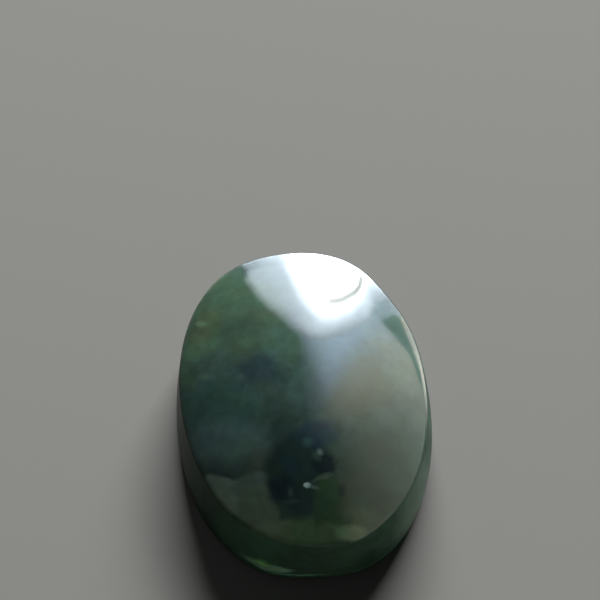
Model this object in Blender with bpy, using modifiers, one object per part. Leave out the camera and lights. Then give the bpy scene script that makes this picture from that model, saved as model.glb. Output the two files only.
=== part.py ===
"""Green agate cabochon: one oval stone with a low polished dome, a leaning wall and a flat ground back.

It lies on its flat back, dome up, with its length along Y. The origin is the centre of the back.
Metres, +Z up.
"""

import math

import bmesh
import bpy
from mathutils import Vector

MM = 0.001

# Plan of the true oval, measured across the stone
GIRDLE_WIDTH = 14.5 * MM  # the widest ring, low on the wall
GIRDLE_LENGTH = 19.2 * MM
CREASE_INSET = 0.31 * MM  # how far the wall leans in between the widest ring and the dome's edge
BACK_INSET = 0.45 * MM  # how far the flat back stays inside the widest ring
SHOULDER_FULLNESS = 0.026  # how far the oval's four shoulders stand outside a plain ellipse

# Heights, from the flat back up
GIRDLE_HEIGHT = 1.4 * MM
CREASE_HEIGHT = 4.5 * MM
STONE_HEIGHT = 7.1 * MM

# The hand-ground crown sits a little off the middle of the back
CROWN_SHIFT_X = -0.10 * MM
CROWN_SHIFT_Y = 0.26 * MM

# Where the hand grinding left the true oval, each with its angle in plan and its spread, both in
# degrees, and how far the edge stands out (or in, below zero)
CROWN_CUTS = (
    (39.0, 12.0, -0.18 * MM),  # flat at the right shoulder of the far end
    (94.0, 24.0, -0.24 * MM),  # blunt far end
    (203.0, 17.0, -0.10 * MM),  # shallow flat on the left side
    (285.0, 15.0, 0.20 * MM),  # full near end
)
FOOT_CUTS = ((268.0, 17.0, -0.26 * MM),)  # flat under the near end

# Roundings and fineness
CREASE_ROUNDING = 0.22 * MM  # length of dome and of wall that the crease's curve takes up
FOOT_EXPONENT = 3.0  # 2 is a quarter ellipse, and more makes the lower edge squarer
DOME_SEGMENTS = 20
CREASE_SEGMENTS = 3
WALL_SEGMENTS = 4
FOOT_SEGMENTS = 8
TURN_STEPS = 96
MERGE_DISTANCE = 0.00001

# Worked out from the sizes above
GIRDLE_HALF_WIDTH = GIRDLE_WIDTH / 2
BACK_HALF_WIDTH = GIRDLE_HALF_WIDTH - BACK_INSET
CREASE_HALF_WIDTH = GIRDLE_HALF_WIDTH - CREASE_INSET
CREASE_STRETCH = (GIRDLE_LENGTH / 2 - CREASE_INSET) / CREASE_HALF_WIDTH
DOME_HEIGHT = STONE_HEIGHT - CREASE_HEIGHT
DOME_RADIUS = (CREASE_HALF_WIDTH**2 + DOME_HEIGHT**2) / (2 * DOME_HEIGHT)
DOME_EDGE_ANGLE = math.asin(CREASE_HALF_WIDTH / DOME_RADIUS)
WALL_LEAN = math.atan2(CREASE_INSET, CREASE_HEIGHT - GIRDLE_HEIGHT)

AGATE_GREEN = (0.030, 0.075, 0.045, 1.0)  # linear
POLISH_ROUGHNESS = 0.12


def remove_scene_objects():
    for item in list(bpy.data.objects):
        bpy.data.objects.remove(item, do_unlink=True)


def dome_points():
    """The arc from the top of the dome to where the crease's rounding begins."""
    end_angle = DOME_EDGE_ANGLE - CREASE_ROUNDING / DOME_RADIUS
    points = []
    for step in range(DOME_SEGMENTS + 1):
        angle = end_angle * step / DOME_SEGMENTS
        height = STONE_HEIGHT - DOME_RADIUS * (1 - math.cos(angle))
        points.append((DOME_RADIUS * math.sin(angle), height))
    return points


def crease_points(start):
    """A smooth turn from the dome into the wall, drawn towards the sharp corner between them."""
    corner = (CREASE_HALF_WIDTH, CREASE_HEIGHT)
    end_reach = corner[0] + CREASE_ROUNDING * math.sin(WALL_LEAN)
    end_height = corner[1] - CREASE_ROUNDING * math.cos(WALL_LEAN)
    points = []
    for step in range(1, CREASE_SEGMENTS + 1):
        t = step / CREASE_SEGMENTS
        reach = (1 - t) ** 2 * start[0] + 2 * t * (1 - t) * corner[0] + t**2 * end_reach
        height = (1 - t) ** 2 * start[1] + 2 * t * (1 - t) * corner[1] + t**2 * end_height
        points.append((reach, height))
    return points


def wall_points(start):
    """The wall from below the crease to the widest ring, upright where it meets the foot."""
    points = []
    for step in range(1, WALL_SEGMENTS + 1):
        t = step / WALL_SEGMENTS
        height = start[1] + (GIRDLE_HEIGHT - start[1]) * t
        swell = math.sin(t * math.pi / 2)
        points.append((start[0] + (GIRDLE_HALF_WIDTH - start[0]) * swell, height))
    return points


def foot_points():
    """The rounded lower edge, from the widest ring in to the flat back."""
    points = []
    for step in range(1, FOOT_SEGMENTS + 1):
        angle = step / FOOT_SEGMENTS * math.pi / 2
        across = max(math.cos(angle), 0.0) ** (2 / FOOT_EXPONENT)
        down = math.sin(angle) ** (2 / FOOT_EXPONENT)
        points.append((BACK_HALF_WIDTH + BACK_INSET * across, GIRDLE_HEIGHT * (1 - down)))
    return points


def stone_profile():
    """Half the stone's section, from the top down its outer side and in along the back."""
    points = dome_points()
    points += crease_points(points[-1])
    points += wall_points(points[-1])
    points += foot_points()
    points[-1] = (BACK_HALF_WIDTH, 0.0)
    points.append((0.0, 0.0))
    return points


def turned_mesh(name, points):
    """A round solid made by turning the profile about Z."""
    outline = bpy.data.meshes.new(name + "_profile")
    edges = [(index, index + 1) for index in range(len(points) - 1)]
    outline.from_pydata([(reach, 0.0, height) for reach, height in points], edges, [])
    blank = bpy.data.objects.new(name + "_blank", outline)
    bpy.context.scene.collection.objects.link(blank)
    screw = blank.modifiers.new("turn", "SCREW")
    screw.axis = "Z"
    screw.angle = math.tau
    screw.steps = TURN_STEPS
    screw.render_steps = TURN_STEPS
    screw.use_merge_vertices = True
    screw.merge_threshold = MERGE_DISTANCE
    bpy.context.view_layer.update()
    shaped = blank.evaluated_get(bpy.context.evaluated_depsgraph_get())
    mesh = bpy.data.meshes.new_from_object(shaped)
    mesh.name = name
    bpy.data.objects.remove(blank, do_unlink=True)
    bpy.data.meshes.remove(outline)
    return mesh


def oval_place(x, y):
    """Where a point of the round blank lies on the oval stone. The wall keeps its thickness all round."""
    reach = math.hypot(x, y)
    if reach < MERGE_DISTANCE:
        return 0.0, 0.0
    across, along = x / reach, y / reach
    inner = min(reach, CREASE_HALF_WIDTH)
    wall = reach - inner
    fullness = SHOULDER_FULLNESS * (2 * across * along) ** 2 * (inner / CREASE_HALF_WIDTH) ** 4
    oval_x = across * (inner * (1 + fullness) + wall)
    oval_y = along * (inner * (1 + fullness) * CREASE_STRETCH + wall)
    return oval_x, oval_y


def wall_share(height):
    """How far up the wall a height lies: 0 up to the widest ring, and 1 from the crease up."""
    t = (height - GIRDLE_HEIGHT) / (CREASE_HEIGHT - GIRDLE_HEIGHT)
    return min(max(t, 0.0), 1.0)


def cut_depth(cuts, angle):
    """How far the cuts move the edge outwards at an angle in plan."""
    depth = 0.0
    for middle, spread, reach in cuts:
        away = (math.degrees(angle) - middle + 180.0) % 360.0 - 180.0
        depth += reach * math.exp(-((away / spread) ** 2))
    return depth


def centre_in_plan(shape):
    """Moves the stone so that the middle of its width and of its length lie over the origin."""
    across = [vertex.co.x for vertex in shape.verts]
    along = [vertex.co.y for vertex in shape.verts]
    middle = Vector(((min(across) + max(across)) / 2, (min(along) + max(along)) / 2, 0.0))
    bmesh.ops.translate(shape, verts=shape.verts, vec=-middle)


def stretch_to_oval(mesh):
    shape = bmesh.new()
    shape.from_mesh(mesh)
    for vertex in shape.verts:
        angle = math.atan2(vertex.co.y, vertex.co.x)
        reach = math.hypot(vertex.co.x, vertex.co.y)
        oval_x, oval_y = oval_place(vertex.co.x, vertex.co.y)
        share = wall_share(vertex.co.z)
        depth = cut_depth(CROWN_CUTS, angle) * share + cut_depth(FOOT_CUTS, angle) * (1 - share)
        growth = depth * min(reach / CREASE_HALF_WIDTH, 1.0) ** 4
        outward = 1 + growth / max(math.hypot(oval_x, oval_y), MERGE_DISTANCE)
        vertex.co.x = oval_x * outward + CROWN_SHIFT_X * share**2
        vertex.co.y = oval_y * outward + CROWN_SHIFT_Y * share**2
    centre_in_plan(shape)
    bmesh.ops.recalc_face_normals(shape, faces=shape.faces)
    shape.to_mesh(mesh)
    shape.free()


def polished_green_agate():
    """Dark green translucent chalcedony with a wet-looking polish."""
    material = bpy.data.materials.new("polished green agate")
    material.use_nodes = True
    shader = material.node_tree.nodes["Principled BSDF"]
    shader.inputs["Base Color"].default_value = AGATE_GREEN
    shader.inputs["Metallic"].default_value = 0.0
    shader.inputs["Roughness"].default_value = POLISH_ROUGHNESS
    shader.inputs["IOR"].default_value = 1.54
    return material


def make_stone(collection):
    mesh = turned_mesh("stone", stone_profile())
    stretch_to_oval(mesh)
    mesh.shade_smooth()
    mesh.set_sharp_from_angle(angle=math.radians(30))
    mesh.materials.append(polished_green_agate())
    stone = bpy.data.objects.new("stone", mesh)
    collection.objects.link(stone)
    return stone


def main():
    remove_scene_objects()
    collection = bpy.data.collections.new("green agate cabochon")
    bpy.context.scene.collection.children.link(collection)
    make_stone(collection)


main()
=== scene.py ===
# Green agate cabochon, laid on its flat back in soft window light
import bmesh
import bpy
import math
from mathutils import Matrix, Vector, noise


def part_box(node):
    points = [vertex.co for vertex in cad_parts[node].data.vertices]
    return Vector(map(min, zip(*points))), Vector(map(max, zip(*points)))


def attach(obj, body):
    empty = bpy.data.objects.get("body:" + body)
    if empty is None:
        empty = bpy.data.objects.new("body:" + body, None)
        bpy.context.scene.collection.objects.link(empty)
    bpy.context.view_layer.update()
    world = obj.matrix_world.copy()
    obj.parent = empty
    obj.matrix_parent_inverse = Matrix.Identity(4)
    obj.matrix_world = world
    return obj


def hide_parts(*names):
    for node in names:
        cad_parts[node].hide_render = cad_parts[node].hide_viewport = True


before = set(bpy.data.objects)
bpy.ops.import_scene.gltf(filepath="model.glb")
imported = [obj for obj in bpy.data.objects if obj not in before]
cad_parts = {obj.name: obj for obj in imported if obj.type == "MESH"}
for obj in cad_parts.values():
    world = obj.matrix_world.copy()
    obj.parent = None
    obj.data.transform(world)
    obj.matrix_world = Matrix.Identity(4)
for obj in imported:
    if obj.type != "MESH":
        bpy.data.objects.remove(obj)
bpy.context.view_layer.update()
scene = bpy.context.scene
mm = 0.001
tiny = 1e-6  # nearer the axis than this, in mm, counts as on it


# Small helpers

def hexColour(code, alpha=1.0):
    # sRGB hex to the linear values that shaders take
    parts = [int(code[i:i + 2], 16) / 255 for i in (1, 3, 5)]
    linear = [p / 12.92 if p <= 0.04045 else ((p + 0.055) / 1.055) ** 2.4 for p in parts]
    return (*linear, alpha)


def addNode(tree, kind, settings=None, values=None, links=None):
    # one node, with its properties, its socket values and what feeds it
    node = tree.nodes.new(kind)
    for name, value in (settings or {}).items():
        setattr(node, name, value)
    for name, value in (values or {}).items():
        node.inputs[name].default_value = value
    for name, socket in (links or {}).items():
        tree.links.new(socket, node.inputs[name])
    return node


def newMaterial(name):
    material = bpy.data.materials.new(name)
    material.use_nodes = True
    tree = material.node_tree
    shader = tree.nodes["Principled BSDF"]
    return material, tree, shader


def meshObject(name, shape, material, smooth=True):
    mesh = bpy.data.meshes.new(name)
    shape.to_mesh(mesh)
    shape.free()
    if smooth:
        mesh.shade_smooth()
    mesh.materials.append(material)
    piece = bpy.data.objects.new(name, mesh)
    scene.collection.objects.link(piece)
    return piece


# The stone's shape, in mm. Each cut has its angle in plan and its spread in degrees, and how far
# the edge stands out there, or in, below zero.
stone = {
    "girdleWidth": 14.5,
    "girdleLength": 19.2,
    "height": 7.1,
    "creaseInset": 0.31,  # how far the wall leans in from the widest ring to the dome's edge
    "backInset": 0.45,
    "shoulderFullness": 0.026,
    "girdleHeight": 1.4,
    "creaseHeight": 4.5,
    "creaseRounding": 0.22,
    "footExponent": 3.0,
    "crownShift": (-0.10, 0.26),
    "crownCuts": [(39, 12, -0.18), (94, 24, -0.24), (203, 17, -0.10), (285, 15, 0.20)],
    "footCuts": [(268, 17, -0.26)],
    "domeRings": 44,
    "creaseRings": 6,
    "wallRings": 10,
    "footRings": 14,
    "backRings": 5,
    "turnSteps": 224,
    "mergeDistance": 1e-4,
    "polishWave": 0.006,  # height of the slight waves that hand polishing leaves
    "polishWaveLength": 3.2,
    "polishWaveStart": (7.3, 2.1, 0),  # where in the noise they are taken from
    "flatBelow": 0.05,  # the ground back has no waves
}


def stoneProfile():
    # half the section in mm, from the top of the dome down the outside and in along the back
    halfWidth = stone["girdleWidth"] / 2
    height = stone["height"]
    creaseReach = halfWidth - stone["creaseInset"]
    creaseHeight = stone["creaseHeight"]
    rise = height - creaseHeight
    radius = (creaseReach ** 2 + rise ** 2) / (2 * rise)
    endAngle = math.asin(creaseReach / radius) - stone["creaseRounding"] / radius
    points = []
    for i in range(stone["domeRings"] + 1):
        angle = endAngle * i / stone["domeRings"]
        points.append((radius * math.sin(angle), height - radius * (1 - math.cos(angle))))

    # the crease is a small curve drawn towards its sharp corner
    lean = math.atan2(stone["creaseInset"], creaseHeight - stone["girdleHeight"])
    startReach, startHeight = points[-1]
    endReach = creaseReach + stone["creaseRounding"] * math.sin(lean)
    endHeight = creaseHeight - stone["creaseRounding"] * math.cos(lean)
    for i in range(1, stone["creaseRings"] + 1):
        t = i / stone["creaseRings"]
        reach = (1 - t) ** 2 * startReach + 2 * t * (1 - t) * creaseReach + t ** 2 * endReach
        level = (1 - t) ** 2 * startHeight + 2 * t * (1 - t) * creaseHeight + t ** 2 * endHeight
        points.append((reach, level))

    for i in range(1, stone["wallRings"] + 1):
        t = i / stone["wallRings"]
        reach = endReach + (halfWidth - endReach) * math.sin(t * math.pi / 2)
        points.append((reach, endHeight + (stone["girdleHeight"] - endHeight) * t))

    backReach = halfWidth - stone["backInset"]
    power = 2 / stone["footExponent"]
    for i in range(1, stone["footRings"] + 1):
        angle = i / stone["footRings"] * math.pi / 2
        across = max(math.cos(angle), 0.0) ** power
        down = math.sin(angle) ** power
        points.append((backReach + stone["backInset"] * across, stone["girdleHeight"] * (1 - down)))
    for i in range(1, stone["backRings"] + 1):
        points.append((backReach * (1 - i / stone["backRings"]), 0.0))
    points[-1 - stone["backRings"]] = (backReach, 0.0)
    return points, creaseReach


def ovalPlace(x, y, creaseReach, stretch):
    # where a point of the round blank lies on the oval: the wall keeps its thickness all round
    reach = math.hypot(x, y)
    if reach < tiny:
        return 0.0, 0.0
    across, along = x / reach, y / reach
    inner = min(reach, creaseReach)
    wall = reach - inner
    fullness = stone["shoulderFullness"] * (2 * across * along) ** 2 * (inner / creaseReach) ** 4
    return across * (inner * (1 + fullness) + wall), along * (inner * (1 + fullness) * stretch + wall)


def cutDepth(cuts, angle):
    depth = 0
    for middle, spread, reach in cuts:
        away = (math.degrees(angle) - middle + 180) % 360 - 180
        depth += reach * math.exp(-((away / spread) ** 2))
    return depth


def makeStone():
    low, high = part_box("stone")
    profile, creaseReach = stoneProfile()
    stretch = (stone["girdleLength"] / 2 - stone["creaseInset"]) / creaseReach
    shape = bmesh.new()
    verts = [shape.verts.new((reach, 0, level)) for reach, level in profile]
    for first, second in zip(verts, verts[1:]):
        shape.edges.new((first, second))
    bmesh.ops.spin(
        shape,
        geom=shape.verts[:] + shape.edges[:],
        cent=(0, 0, 0),
        axis=(0, 0, 1),
        angle=math.tau,
        steps=stone["turnSteps"],
        use_merge=True,
    )
    bmesh.ops.remove_doubles(shape, verts=shape.verts, dist=stone["mergeDistance"])
    bmesh.ops.recalc_face_normals(shape, faces=shape.faces)
    wallDrop = stone["creaseHeight"] - stone["girdleHeight"]
    for vert in shape.verts:
        angle = math.atan2(vert.co.y, vert.co.x)
        reach = math.hypot(vert.co.x, vert.co.y)
        x, y = ovalPlace(vert.co.x, vert.co.y, creaseReach, stretch)
        share = min(max((vert.co.z - stone["girdleHeight"]) / wallDrop, 0), 1)
        depth = cutDepth(stone["crownCuts"], angle) * share
        depth += cutDepth(stone["footCuts"], angle) * (1 - share)
        outward = 1 + depth * min(reach / creaseReach, 1) ** 4 / max(math.hypot(x, y), tiny)
        vert.co.x = x * outward + stone["crownShift"][0] * share ** 2
        vert.co.y = y * outward + stone["crownShift"][1] * share ** 2
    along = [vert.co.y for vert in shape.verts]
    across = [vert.co.x for vert in shape.verts]
    middle = Vector(((min(across) + max(across)) / 2, (min(along) + max(along)) / 2, 0))
    boxMiddle = Vector(((low[0] + high[0]) / 2 / mm, (low[1] + high[1]) / 2 / mm, low[2] / mm))
    bmesh.ops.translate(shape, verts=shape.verts, vec=boxMiddle - middle)
    shape.normal_update()
    waveStart = Vector(stone["polishWaveStart"])
    for vert in shape.verts:
        if vert.co.z > stone["flatBelow"]:
            wave = noise.noise(vert.co / stone["polishWaveLength"] + waveStart)
            vert.co += vert.normal * wave * stone["polishWave"]
    bmesh.ops.transform(shape, matrix=Matrix.Scale(mm, 4), verts=shape.verts)
    piece = meshObject("polished_stone", shape, greenAgate())
    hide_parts("stone")
    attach(piece, "root")
    print("stone shaped:", len(piece.data.polygons), "faces")
    return piece


# What shows inside the dome: soft clouds seen from above, and in the pale cloud at the near left a painted
# reflection of the lit floor. Each has its colour, its centre and half sizes in mm, its turn in plan in
# degrees, how much of it is soft edge and how much it covers.
domeCloudsAndPaintedReflection = [
    ("#2b433a", (-5.2, -0.9), (2.4, 1.5), -26, 0.5, 0.85),  # teal on the left
    ("#3b4f47", (-5.0, -3.1), (2.4, 1.2), -19, 0.4, 0.9),  # greyer below it
    ("#344432", (-4.1, 5.0), (3.9, 3.0), -53, 0.25, 0.95),  # leaf green at the far left
    ("#3a5038", (-6.3, 2.2), (1.7, 0.8), -86, 0.5, 0.7),  # brighter along that edge
    ("#404a2c", (-4.9, 4.4), (0.9, 0.6), -75, 0.6, 0.6),  # mossy yellow spots in it
    ("#3e4831", (-5.7, 3.5), (0.7, 0.5), -48, 0.6, 0.6),
    ("#2c3c2f", (-3.5, 3.7), (1.3, 0.7), -15, 0.6, 0.7),  # darker patch under them
    ("#43573f", (-5.6, 2.9), (0.8, 0.7), 0, 0.7, 0.5),  # lighter between them and the edge
    ("#31433b", (-0.4, -0.9), (1.2, 0.8), 60, 0.6, 0.8),  # lighter beside the wall's mirror image
    ("#33453a", (-5.2, 1.5), (1.5, 0.9), -35, 0.5, 0.85),
    ("#324538", (-1.2, 1.9), (1.5, 1.1), 87, 0.35, 0.8),  # green lobe beside the window's mirror image
    ("#212d34", (-2.6, 0.5), (1.1, 0.8), -21, 0.6, 0.6),  # slate blue
    ("#242c1f", (2.3, -0.9), (2.2, 1.6), 9, 0.5, 0.8),  # dark olive in the middle
    ("#252c21", (3.2, -6.6), (3.2, 2.3), 70, 0.4, 0.9),  # olive on the right
    ("#353b32", (-2.9, -4.8), (0.9, 0.8), -76, 0.5, 0.6),  # brown haze
    ("#525f50", (-4.7, -6.1), (1.9, 0.85), -41, 0.12, 0.95),  # pale cloud at the near left: partly stone colour, partly painted reflection of the lit floor
    ("#414d44", (-3.4, -5.9), (1.4, 0.75), -12, 0.2, 0.85),
    ("#434f3f", (-3.4, -7.2), (1.35, 1.15), -68, 0.15, 0.9),
    ("#4a5844", (-2.1, -8.45), (1.9, 0.7), -9, 0.3, 0.9),
    ("#13231f", (-1.0, -5.5), (2.1, 1.85), 88, 0.2, 0.97),  # the dark hollow
    ("#1a2731", (0.2, -3.6), (1.0, 0.75), 0, 0.5, 0.75),  # blue at its far end
    ("#0f212a", (-1.6, -5.0), (0.5, 0.5), 0, 0.6, 0.7),
    ("#0a181b", (-1.9, -6.2), (0.8, 0.65), -14, 0.4, 0.9),  # its blackest parts
    ("#0b1618", (0.35, -5.3), (0.65, 0.5), 0, 0.3, 0.9),
    ("#30462c", (-0.9, -8.4), (1.1, 0.65), -7, 0.4, 0.85),  # green below the hollow
    ("#1f331f", (0.4, -7.5), (1.6, 0.85), 84, 0.15, 0.95),  # dark green tongue
    ("#34462f", (0.35, -8.7), (0.9, 0.5), 0, 0.5, 0.85),  # paler at its near end
    ("#333b2b", (2.0, -8.0), (0.9, 0.7), 0, 0.6, 0.8),
    ("#0f1c18", (1.2, -6.6), (0.35, 0.22), 82, 0.5, 0.8),
    ("#3a4637", (0.2, -5.9), (0.5, 0.15), 20, 0.5, 0.7),
    ("#525c47", (1.55, -8.75), (0.7, 0.4), 0, 0.5, 0.85),  # pale smudge at the near edge
]

# Clouds on the wall, and painted sheen, glow and light on it, with their height too
wallCloudsAndPaintedLight = [
    ("#434e46", (5.6, -6.1, 2.9), (1.4, 2.1, 2.0), -35, 0.5, 0.9),  # painted sheen on the right, greyer
    ("#2a3d32", (-6.4, -4.4, 3.2), (1.5, 3.4, 2.2), 20, 0.5, 0.9),  # greyer on the left
    ("#3e5b48", (-3.5, -8.4, 2.7), (3.0, 1.8, 2.4), -27, 0.5, 0.9),  # painted glow of light coming through the stone, in green
    # the painted glow goes on along the near end
    ("#334238", (-0.3, -9.4, 2.7), (2.4, 1.4, 2.4), 0, 0.4, 0.9),
    ("#749478", (-2.9, -8.9, 1.55), (1.5, 0.6, 0.44), -30, 0.25, 0.95),  # painted glow low on it: a pale patch where light through the stone comes out
    # the brightest spot of that painted glow
    ("#86c46c", (-3.25, -8.8, 1.9), (0.35, 0.4, 0.24), -30, 0.7, 0.7),
    ("#6c957c", (-1.5, -9.35, 0.95), (1.5, 0.5, 0.1), -9, 0.6, 0.8),  # painted thin line of light along the foot
]

# Specks just under the polish, paler than what lies round them
agateSpecks = [
    ("#54684f", (-5.5, 4.6), (0.3, 0.15), -35, 0.9, 0.6),
    ("#40583f", (-6.15, 2.7), (0.4, 0.28), -54, 0.8, 0.7),
    ("#3f5546", (-5.55, 0.95), (0.3, 0.2), -32, 0.9, 0.7),
    ("#36483e", (-3.7, 0.3), (0.28, 0.17), -19, 0.9, 0.6),
    ("#2b423e", (-0.4, -4.0), (0.27, 0.22), -4, 0.9, 0.8),
    ("#505c54", (0.2, -4.6), (0.15, 0.15), 27, 0.8, 0.9),
    ("#313e37", (0.0, -4.8), (0.26, 0.15), -53, 0.9, 0.6),
    ("#93a59d", (-0.65, -6.25), (0.17, 0.12), -6, 0.5, 0.95),
    ("#3d4c45", (-0.35, -6.35), (0.32, 0.09), -19, 0.7, 0.8),
    ("#2c3b36", (-1.55, -6.5), (0.25, 0.13), 86, 0.6, 0.8),
    ("#283733", (-1.6, -6.95), (0.43, 0.09), -7, 0.6, 0.8),
]

agateLook = {
    "darkGround": "#1f2d28",
    "paleGround": "#2e3d33",
    "darkWall": "#12211a",
    "paleWall": "#2a3f31",
    "groundScale": 2.0,  # mm across a wave from dark to pale ground
    "groundEnds": (0.35, 0.65),  # levels of that wave where the ground is fully dark and fully pale
    "wallFrom": 4.36,  # mm, the wall has its own colours below this height
    "wallCover": 0.9,  # how far they hide the dome's
    "cloudScale": 1.5,  # mm across a wave of the clouds' edges
    "cloudWander": 0.9,  # how far those edges wander, in mm
    "mottleScale": 0.55,  # mm across a mottle
    "mottleTone": (0.86, 1.14),  # from its darkest to its palest
    "hueWaves": 0.9,  # per mm
    "hueDrift": (0.47, 0.53),  # 0.5 leaves the hue as it is
    "speckScale": 0.4,
    "speckWander": 0.15,
    "ior": 1.54,
    "domeRoughness": 0.09,
    "wallRoughness": 0.3,
    "domeGloss": 0.5,
    "wallGloss": 0.03,
    "wallGlossFrom": 4.3,  # mm, the wall is as dull as that below this height
    "dullCreaseTop": 4.66,  # mm, on the left the crease is dull up to here
    "dullLeft": ((-7.5, -4.5), (6.0, 8.0), 0, 0.25, 1.0),  # that part, laid out as the clouds are
    "scatter": 0.5,
    "scatterColours": (0.6, 1.0, 0.75),  # how far red, green and blue spread, green the furthest
    "scatterDepth": 0.25,  # mm
}


def cloudMask(tree, place, at, half, turn, fade, cover):
    # full inside an ellipse in plan, or inside an ellipsoid where a height is given
    anyHeight = 1000
    at = at if len(at) == 3 else (*at, 0)
    half = half if len(half) == 3 else (*half, anyHeight)
    local = addNode(
        tree,
        "ShaderNodeMapping",
        settings={"vector_type": "TEXTURE"},
        values={"Location": at, "Rotation": (0, 0, math.radians(turn)), "Scale": half},
        links={"Vector": place},
    )
    reach = addNode(
        tree,
        "ShaderNodeVectorMath",
        settings={"operation": "LENGTH"},
        links={0: local.outputs["Vector"]},
    )
    mask = addNode(
        tree,
        "ShaderNodeMapRange",
        settings={"interpolation_type": "SMOOTHSTEP"},
        values={"From Min": 1 + fade, "From Max": 1 - fade, "To Min": 0.0, "To Max": cover},
        links={"Value": reach.outputs["Value"]},
    )
    return mask.outputs["Result"]


def overlaid(tree, below, above, mask):
    # the upper one is a hex colour or another node's output
    mix = addNode(tree, "ShaderNodeMix", settings={"data_type": "RGBA"}, links={"Factor": mask})
    lowerColour, upperColour = mix.inputs[6], mix.inputs[7]  # their names are also those of plain values
    tree.links.new(below, lowerColour)
    if isinstance(above, str):
        upperColour.default_value = hexColour(above)
    else:
        tree.links.new(above, upperColour)
    return mix.outputs[2]


def bentCoords(tree, place, scale, wander, detail):
    # noise that pushes every point a little, so that no cloud keeps a plain outline
    noisy = addNode(
        tree,
        "ShaderNodeTexNoise",
        values={"Scale": 1 / scale, "Detail": detail, "Roughness": 0.6},
        links={"Vector": place},
    )
    centred = addNode(
        tree,
        "ShaderNodeVectorMath",
        settings={"operation": "SUBTRACT"},
        links={0: noisy.outputs["Color"]},
    )
    centred.inputs[1].default_value = (0.5, 0.5, 0.5)
    bent = addNode(
        tree,
        "ShaderNodeVectorMath",
        settings={"operation": "MULTIPLY_ADD"},
        links={0: centred.outputs["Vector"], 2: place},
    )
    bent.inputs[1].default_value = (wander,) * 3
    return bent.outputs["Vector"]


def byHeight(tree, place, upper, lower, atUpper, atLower):
    # a value that changes between two heights in mm
    parts = addNode(tree, "ShaderNodeSeparateXYZ", links={"Vector": place})
    step = addNode(
        tree,
        "ShaderNodeMapRange",
        values={"From Min": lower, "From Max": upper, "To Min": atLower, "To Max": atUpper},
        links={"Value": parts.outputs["Z"]},
    )
    return step.outputs["Result"]


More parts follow.
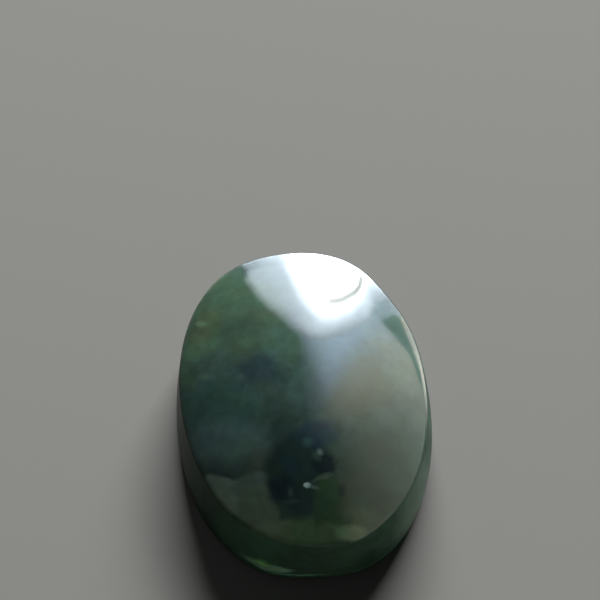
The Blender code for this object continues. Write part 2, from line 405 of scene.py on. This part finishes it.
def greenAgate():
    # Green agate, domed and polished on felt: dark and glassy, with clouds that seem to lie below the skin,
    # and some painted light in its colour
    look = agateLook
    material, tree, shader = newMaterial("polished green agate")
    coords = addNode(tree, "ShaderNodeTexCoord")
    inMm = addNode(
        tree,
        "ShaderNodeMapping",
        values={"Scale": (1 / mm,) * 3},
        links={"Vector": coords.outputs["Object"]},
    )
    place = inMm.outputs["Vector"]
    bent = bentCoords(tree, place, look["cloudScale"], look["cloudWander"], 4.0)

    cloudy = addNode(
        tree,
        "ShaderNodeTexNoise",
        values={"Scale": 1 / look["groundScale"], "Detail": 5.0, "Roughness": 0.6},
        links={"Vector": bent},
    )
    grounds = []
    for shades in (("darkGround", "paleGround"), ("darkWall", "paleWall")):
        ground = addNode(tree, "ShaderNodeValToRGB", links={"Fac": cloudy.outputs["Fac"]})
        for stop, end, shade in zip(ground.color_ramp.elements, look["groundEnds"], shades):
            stop.position = end
            stop.color = hexColour(look[shade])
        grounds.append(ground.outputs["Color"])
    colour, wallColour = grounds

    crease = stone["creaseHeight"]
    # the dome's clouds, with the painted reflection of the lit floor in the pale one at the near left
    for tint, at, half, turn, fade, cover in domeCloudsAndPaintedReflection:
        colour = overlaid(tree, colour, tint, cloudMask(tree, bent, at, half, turn, fade, cover))
    wallCover = byHeight(tree, place, crease, look["wallFrom"], 0.0, look["wallCover"])
    colour = overlaid(tree, colour, wallColour, wallCover)
    # the wall's clouds, with its painted sheen, its painted glow at the near end and the painted line along
    # the foot
    for tint, at, half, turn, fade, cover in wallCloudsAndPaintedLight:
        mask = cloudMask(tree, bent, at, half, turn, fade, cover)
        onWall = addNode(
            tree,
            "ShaderNodeMath",
            settings={"operation": "MULTIPLY"},
            links={0: mask, 1: byHeight(tree, place, crease, look["wallFrom"], 0.0, 1.0)},
        )
        colour = overlaid(tree, colour, tint, onWall.outputs["Value"])

    # fine mottling in tone and in hue
    mottle = addNode(
        tree,
        "ShaderNodeTexNoise",
        values={"Scale": 1 / look["mottleScale"], "Detail": 3.0, "Roughness": 0.5},
        links={"Vector": bent},
    )
    drift = addNode(
        tree,
        "ShaderNodeTexNoise",
        values={"Scale": look["hueWaves"], "Detail": 2.0},
        links={"Vector": place},
    )
    changes = []
    for pattern, ends in ((mottle, look["mottleTone"]), (drift, look["hueDrift"])):
        change = addNode(
            tree,
            "ShaderNodeMapRange",
            values={"From Min": 0.3, "From Max": 0.7, "To Min": ends[0], "To Max": ends[1]},
            links={"Value": pattern.outputs["Fac"]},
        )
        changes.append(change.outputs["Result"])
    tone, hue = changes
    mottled = addNode(
        tree,
        "ShaderNodeHueSaturation",
        links={"Color": colour, "Value": tone, "Hue": hue},
    )
    colour = mottled.outputs["Color"]

    nudged = bentCoords(tree, place, look["speckScale"], look["speckWander"], 2.0)
    for tint, at, half, turn, fade, cover in agateSpecks:
        colour = overlaid(tree, colour, tint, cloudMask(tree, nudged, at, half, turn, fade, cover))

    # the wall hardly mirrors anything, and on the left neither does the crease above it
    wallFrom = look["wallGlossFrom"]
    domeGloss, wallGloss = look["domeGloss"], look["wallGloss"]
    leftSide = cloudMask(tree, place, *look["dullLeft"])
    gloss = addNode(tree, "ShaderNodeMix", links={"Factor": leftSide})
    mostGloss = byHeight(tree, place, crease, wallFrom, domeGloss, wallGloss)
    leftGloss = byHeight(tree, place, look["dullCreaseTop"], crease, domeGloss, wallGloss)
    tree.links.new(mostGloss, gloss.inputs["A"])
    tree.links.new(leftGloss, gloss.inputs["B"])
    roughness = byHeight(tree, place, crease, wallFrom, look["domeRoughness"], look["wallRoughness"])

    tree.links.new(colour, shader.inputs["Base Color"])
    tree.links.new(roughness, shader.inputs["Roughness"])
    tree.links.new(gloss.outputs["Result"], shader.inputs["Specular IOR Level"])
    shader.inputs["IOR"].default_value = look["ior"]
    shader.inputs["Subsurface Weight"].default_value = look["scatter"]
    shader.inputs["Subsurface Radius"].default_value = look["scatterColours"]
    shader.inputs["Subsurface Scale"].default_value = look["scatterDepth"] * mm
    return material


# The floor and the light, in metres and degrees where nothing else is said. Azimuths count from +Y
# towards +X, and glows are emission strengths.
studio = {
    "floorHalf": 1.5,
    "floorColour": "#868684",
    "floorRoughness": 0.8,
    "floorDrop": 0.02,  # mm that it lies below the stone's back
    "backdropColour": "#d2d1cd",
    "ambient": 0.06,
    "windowAzimuth": 16,
    "windowDistance": 0.1,
    "windowColour": "#d8e4f2",
    "sillDistance": 0.02,
    "cordDistance": 0.0195,
    "cordBend": (20, 5),  # azimuth and height in mm that the cord bends about
    "cordSpread": 1.18,  # how much wider the bend is at the cord's outer side
    "ledgeColour": "#f8f3e6",
    "wallAzimuth": 90,
    "wallDistance": 0.35,
    "wallGlow": 9.2,
    "wallFadeTilt": 0.75,
    "skirtingColour": "#c8f2e2",
    "skirtingGlow": 1.6,
    "skirtingDistance": 0.3535,
    "floorLightColour": "#f4f4f2",
    "floorLightAzimuth": 15,
    "floorLightDistance": 0.4,
    "floorLightGlow": 28,
}

# The window's light, ring by ring from its edge in. Each point holds how far along the sheet and
# how far up it lies, as shares of the sheet's distance, and how strongly it glows.
windowRim = [
    (-0.46, 0.00, 0),
    (-0.585, 0.27, 0),
    (-0.60, 0.53, 0),
    (-0.54, 0.77, 0),
    (-0.38, 1.03, 0),
    (-0.22, 1.16, 0.8),
    (-0.02, 1.24, 2.4),
    (0.15, 1.12, 4.5),
    (0.28, 0.97, 6),
    (0.40, 0.72, 6.4),
    (0.465, 0.42, 5),
    (0.42, 0.00, 3.2),
]
windowFrame = [
    (-0.41, 0.00, 6.5),
    (-0.51, 0.25, 7),
    (-0.50, 0.46, 7.2),
    (-0.44, 0.65, 7.8),
    (-0.27, 0.85, 8.5),
    (-0.16, 0.97, 9.5),
    (-0.01, 1.06, 11),
    (0.13, 0.99, 12),
    (0.25, 0.86, 11.5),
    (0.355, 0.65, 11),
    (0.428, 0.37, 12),
    (0.385, 0.00, 10),
]
paneEdge = [
    (-0.26, 0.00, 9),
    (-0.26, 0.20, 10),
    (-0.24, 0.42, 11),
    (-0.19, 0.62, 13),
    (-0.10, 0.76, 14),
    (-0.02, 0.83, 15),
    (0.05, 0.88, 16),
    (0.13, 0.86, 17),
    (0.25, 0.75, 16.5),
    (0.345, 0.54, 16),
    (0.385, 0.30, 14.5),
    (0.36, 0.00, 12),
]
pane = [
    (-0.15, 0.00, 42),
    (-0.15, 0.22, 42),
    (-0.09, 0.40, 42),
    (-0.03, 0.51, 42),
    (0.03, 0.59, 42),
    (0.06, 0.62, 42),
    (0.09, 0.62, 42),
    (0.14, 0.57, 42),
    (0.20, 0.47, 42),
    (0.25, 0.36, 42),
    (0.28, 0.23, 42),
    (0.28, 0.00, 42),
]

# The outlines of the evenly lit sheets, in the same shares
wallOutline = [
    (2.4, 0.06),
    (-0.31, 0.09),
    (-0.46, 0.10),
    (-0.54, 0.11),
    (-0.63, 0.12),
    (-0.69, 0.17),
    (-0.77, 0.23),
    (-0.89, 0.28),
    (-1.06, 0.34),
    (-1.06, 0.00),
    (-3.2, 0.00),
    (-3.2, 2.50),
    (-14, 10.00),
    (-14, 16.00),
    (2.4, 16.00),
]
skirtingOutline = [(2.4, 0.00), (-1.2, 0.00), (-1.2, 0.40), (2.4, 0.40)]
floorLightOutline = [(-0.4, 0.4), (0.4, 0.4), (0.4, 1.0), (-0.4, 1.0)]

# The wall's colour along it, from the stone's near end to the window, as shares of its distance
wallStops = [
    (-0.9, "#5d6256"),
    (-0.4, "#575a53"),
    (-0.2, "#626860"),
    (0.0, "#686d66"),
    (0.15, "#71746c"),
    (0.3, "#86877e"),
    (0.45, "#9b998e"),
    (0.6, "#a9aa9f"),
    (0.8, "#b0b3af"),
    (1.0, "#b6c3ca"),
    (1.14, "#bed0e2"),
    (1.4, "#c5dbf3"),
]

# How much of its glow there is by height over a sloping line, in the same shares
wallFade = [
    (-0.9, 0.55),
    (-0.6, 0.58),
    (-0.4, 0.83),
    (-0.2, 0.98),
    (0.0, 1.0),
    (0.5, 0.94),
    (1.0, 0.81),
    (1.5, 0.66),
    (2.0, 0.52),
    (3.0, 0.28),
    (4.0, 0.16),
    (6.0, 0.085),
    (12.0, 0.04),
]

# Low strips of light close behind the stone: azimuth from +Y, height in mm and glow. The first
# continues the window's mirror image down to the stone's edge, the second is a ledge beside it.
sillPoints = [
    (-14, 5.9, 0),
    (-12, 5.9, 4),
    (-6, 5.9, 6.5),
    (-1, 5.9, 8.5),
    (1, 5.9, 13),
    (4, 5.9, 30),
    (31, 5.9, 30),
    (36, 5.9, 12),
    (38.5, 5.9, 8.5),
    (40.5, 5.9, 5.5),
    (41.3, 5.0, 4),
    (47.5, 4.7, 3.8),
]
ledgePoints = [
    (47.5, 4.3, 3.4),
    (49.5, 4.5, 3.7),
    (54.6, 5.04, 3.9),
    (58.5, 5.18, 4.1),
    (63.2, 5.1, 5.6),
    (68.6, 4.9, 6.4),
    (73.5, 5.1, 6),
    (78, 5.4, 4.3),
    (84, 5.5, 1.7),
    (90, 5.5, 0),
]

# The cord's inner edge, in the same terms
cordPoints = [
    (21.6, 12.7, 12.5),
    (24.0, 12.3, 11.2),
    (26.2, 11.6, 9.8),
    (28.3, 10.5, 8.7),
    (30.0, 9.2, 7.7),
    (31.0, 8.0, 6.8),
    (31.3, 6.8, 6.1),
    (30.7, 5.7, 5.6),
    (29.7, 4.8, 5.2),
]


def evenRing(outline):
    # one that glows as strongly everywhere as its material says
    return [(along, up, 1) for along, up in outline]


def glowMaterial(name, colour, strength=1.0):
    material = bpy.data.materials.new(name)
    material.use_nodes = True
    tree = material.node_tree
    tree.nodes.clear()
    glow = addNode(tree, "ShaderNodeEmission", values={"Color": hexColour(colour), "Strength": strength})
    addNode(tree, "ShaderNodeOutputMaterial", links={"Surface": glow.outputs["Emission"]})
    return material, tree, glow


def glowSheet(name, rings, distance, azimuth, material, onlyFor):
    # a flat upright sheet of light that faces the stone from that azimuth, counted from +Y
    shape = bmesh.new()
    glow = shape.verts.layers.float.new("glow")
    loops = []
    for ring in rings:
        loop = []
        for along, up, level in ring:
            vert = shape.verts.new((along * distance, distance, up * distance))
            vert[glow] = level
            loop.append(vert)
        loops.append(loop)
    for outer, inner in zip(loops, loops[1:]):
        for i in range(len(outer)):
            j = (i + 1) % len(outer)
            shape.faces.new((outer[i], outer[j], inner[j], inner[i]))
    shape.faces.new(loops[-1])
    bmesh.ops.transform(shape, matrix=Matrix.Rotation(-math.radians(azimuth), 4, "Z"), verts=shape.verts)
    sheet = meshObject(name, shape, material, smooth=False)
    sheet.visible_camera = False
    sheet.visible_shadow = False
    sheet.light_linking.receiver_collection = onlyFor
    return sheet


def glowBand(name, lower, upper, distance, material, onlyFor):
    # a curved band between two edges, each a row of azimuth in degrees, height in mm and glow; it
    # stands where the polish would otherwise mirror only floor, and nothing but gloss sees it
    shape = bmesh.new()
    glow = shape.verts.layers.float.new("glow")
    rows = []
    for edge in (lower, upper):
        row = []
        for azimuth, height, level in edge:
            angle = math.radians(azimuth)
            foot = Vector((math.sin(angle), math.cos(angle), 0)) * distance
            vert = shape.verts.new(foot + Vector((0, 0, height * mm)))
            vert[glow] = level
            row.append(vert)
        rows.append(row)
    low, high = rows
    for i in range(len(low) - 1):
        shape.faces.new((low[i], low[i + 1], high[i + 1], high[i]))
    band = meshObject(name, shape, material, smooth=False)
    band.visible_camera = False
    band.visible_diffuse = False
    band.visible_transmission = False
    band.visible_shadow = False
    band.light_linking.receiver_collection = onlyFor


def onFloor(edge):
    # the same edge brought down to the floor
    return [(azimuth, 0, level) for azimuth, height, level in edge]


def glowByPoint(name, colour):
    # each sheet's own points say how strongly it glows there, and the light blends between them
    material, tree, glow = glowMaterial(name, colour)
    level = addNode(tree, "ShaderNodeAttribute", settings={"attribute_name": "glow"})
    tree.links.new(level.outputs["Fac"], glow.inputs["Strength"])
    return material


def rampOf(tree, value, stops):
    # colours or plain levels that change with a value
    first, last = stops[0][0], stops[-1][0]
    share = addNode(
        tree,
        "ShaderNodeMapRange",
        values={"From Min": first, "From Max": last},
        links={"Value": value},
    )
    ramp = addNode(tree, "ShaderNodeValToRGB", links={"Fac": share.outputs["Result"]})
    elements = ramp.color_ramp.elements
    elements.remove(elements[1])
    for i, (place, look) in enumerate(stops):
        stop = elements.new((place - first) / (last - first)) if i else elements[0]
        stop.color = hexColour(look) if isinstance(look, str) else (look, look, look, 1)
    return ramp.outputs["Color"]


def wallGlow():
    # painted wall beside the window: bluish next to it, warm further on, dimming away from it and upwards
    material, tree, glow = glowMaterial("lit wall", "#ffffff")
    coords = addNode(tree, "ShaderNodeTexCoord")
    shares = addNode(
        tree,
        "ShaderNodeMapping",
        values={"Scale": (1 / studio["wallDistance"],) * 3},
        links={"Vector": coords.outputs["Object"]},
    )
    parts = addNode(tree, "ShaderNodeSeparateXYZ", links={"Vector": shares.outputs["Vector"]})
    tree.links.new(rampOf(tree, parts.outputs["Y"], wallStops), glow.inputs["Color"])

    # the line over which it fades slopes up towards the window
    rise = addNode(
        tree,
        "ShaderNodeMapRange",
        settings={"clamp": False},
        values={"From Min": 0.0, "From Max": 1.0, "To Min": 0.0, "To Max": -studio["wallFadeTilt"]},
        links={"Value": parts.outputs["Y"]},
    )
    raised = addNode(
        tree,
        "ShaderNodeMath",
        settings={"operation": "ADD"},
        links={0: parts.outputs["Z"], 1: rise.outputs["Result"]},
    )
    strength = addNode(
        tree,
        "ShaderNodeMapRange",
        values={"To Min": 0.0, "To Max": studio["wallGlow"]},
        links={"Value": rampOf(tree, raised.outputs["Value"], wallFade)},
    )
    tree.links.new(strength.outputs["Result"], glow.inputs["Strength"])
    return material


def makeLight(piece, floor):
    # the stone's lights are so near that they would flood the floor, so the floor has its own
    stoneOnly = bpy.data.collections.new("stone only")
    stoneOnly.objects.link(piece)
    floorOnly = bpy.data.collections.new("floor only")
    floorOnly.objects.link(floor)
    overhead, _, _ = glowMaterial("overhead light", studio["floorLightColour"], studio["floorLightGlow"])
    rings = [evenRing(floorLightOutline)]
    place = (studio["floorLightDistance"], studio["floorLightAzimuth"])
    floorLight = glowSheet("floor_light", rings, *place, overhead, floorOnly)
    floorLight.visible_glossy = False  # or the polish would mirror it as a dark pane

    daylight = glowByPoint("window light", studio["windowColour"])
    rings = [windowRim, windowFrame, paneEdge, pane]
    glowSheet("window_light", rings, studio["windowDistance"], studio["windowAzimuth"], daylight, stoneOnly)
    glowBand("sill_light", onFloor(sillPoints), sillPoints, studio["sillDistance"], daylight, stoneOnly)
    ledge = glowByPoint("lit ledge", studio["ledgeColour"])
    glowBand("ledge_light", onFloor(ledgePoints), ledgePoints, studio["sillDistance"], ledge, stoneOnly)

    # a thin cord hangs in a bend in front of the pane
    bendAzimuth, bendHeight = studio["cordBend"]
    otherEdge = []
    for azimuth, height, level in cordPoints:
        outerAzimuth = bendAzimuth + (azimuth - bendAzimuth) * studio["cordSpread"]
        outerHeight = bendHeight + (height - bendHeight) * studio["cordSpread"]
        otherEdge.append((outerAzimuth, outerHeight, level))
    glowBand("blind_cord", cordPoints, otherEdge, studio["cordDistance"], ledge, stoneOnly)

    rings = [evenRing(wallOutline)]
    glowSheet("wall_light", rings, studio["wallDistance"], studio["wallAzimuth"], wallGlow(), stoneOnly)
    skirting, _, _ = glowMaterial("skirting board", studio["skirtingColour"], studio["skirtingGlow"])
    rings = [evenRing(skirtingOutline)]
    place = (studio["skirtingDistance"], studio["wallAzimuth"])
    glowSheet("skirting", rings, *place, skirting, stoneOnly)

    # the room gives the stone and the floor a dim white light, and past the floor it looks pale
    world = bpy.data.worlds.new("dim room")
    world.use_nodes = True
    tree = world.node_tree
    tree.nodes.clear()
    white = hexColour("#ffffff")
    backdrop = hexColour(studio["backdropColour"])
    dim = addNode(tree, "ShaderNodeBackground", values={"Color": white, "Strength": studio["ambient"]})
    pale = addNode(tree, "ShaderNodeBackground", values={"Color": backdrop, "Strength": 1.0})
    rays = addNode(tree, "ShaderNodeLightPath")
    both = addNode(tree, "ShaderNodeMixShader", links={"Fac": rays.outputs["Is Camera Ray"]})
    tree.links.new(dim.outputs["Background"], both.inputs[1])
    tree.links.new(pale.outputs["Background"], both.inputs[2])
    addNode(tree, "ShaderNodeOutputWorld", links={"Surface": both.outputs["Shader"]})
    scene.world = world
    print("light set")


def makeFloor():
    # Painted board, rolled matt: a plain pale ground with no gloss
    material, _, shader = newMaterial("matt pale board")
    shader.inputs["Base Color"].default_value = hexColour(studio["floorColour"])
    shader.inputs["Roughness"].default_value = studio["floorRoughness"]
    shape = bmesh.new()
    bmesh.ops.create_grid(shape, x_segments=1, y_segments=1, size=studio["floorHalf"])
    floor = meshObject("floor", shape, material, smooth=False)
    floor.location.z = -studio["floorDrop"] * mm
    print("floor laid")
    return floor


# The camera looks down on the laid stone as the photo looks at its face
view = {
    "elevation": 60.0,
    "azimuth": 9.73,
    "roll": 4.24,
    "middle": (0, -0.102, 4.5),  # mm, the middle of the oval that the crease follows
    "distance": 105.88,  # mm, from there
    "across": 0.325,  # mm, how far right of the view's middle it lies
    "up": -5.290,  # and how far above
    "fieldOfView": 18.0,
    "sensorWidth": 36,
}


def makeCamera():
    turn = Matrix.Rotation(-math.radians(view["azimuth"]), 3, "Z")
    tilt = Matrix.Rotation(math.radians(90 - view["elevation"]), 3, "X")
    roll = Matrix.Rotation(math.radians(view["roll"]), 3, "Z")
    axes = turn @ tilt @ roll
    creaseMiddle = Vector(view["middle"])
    inView = Vector((view["across"], view["up"], -view["distance"]))
    place = (creaseMiddle - axes @ inView) * mm
    data = bpy.data.cameras.new("camera")
    data.sensor_width = view["sensorWidth"]
    data.lens = view["sensorWidth"] / 2 / math.tan(math.radians(view["fieldOfView"] / 2))
    data.clip_start = 0.001
    camera = bpy.data.objects.new("camera", data)
    camera.matrix_world = Matrix.Translation(place) @ axes.to_4x4()
    scene.collection.objects.link(camera)
    scene.camera = camera
    print("camera placed")


scene.view_settings.view_transform = "Standard"
makeCamera()
polishedStone = makeStone()
paleFloor = makeFloor()
makeLight(polishedStone, paleFloor)
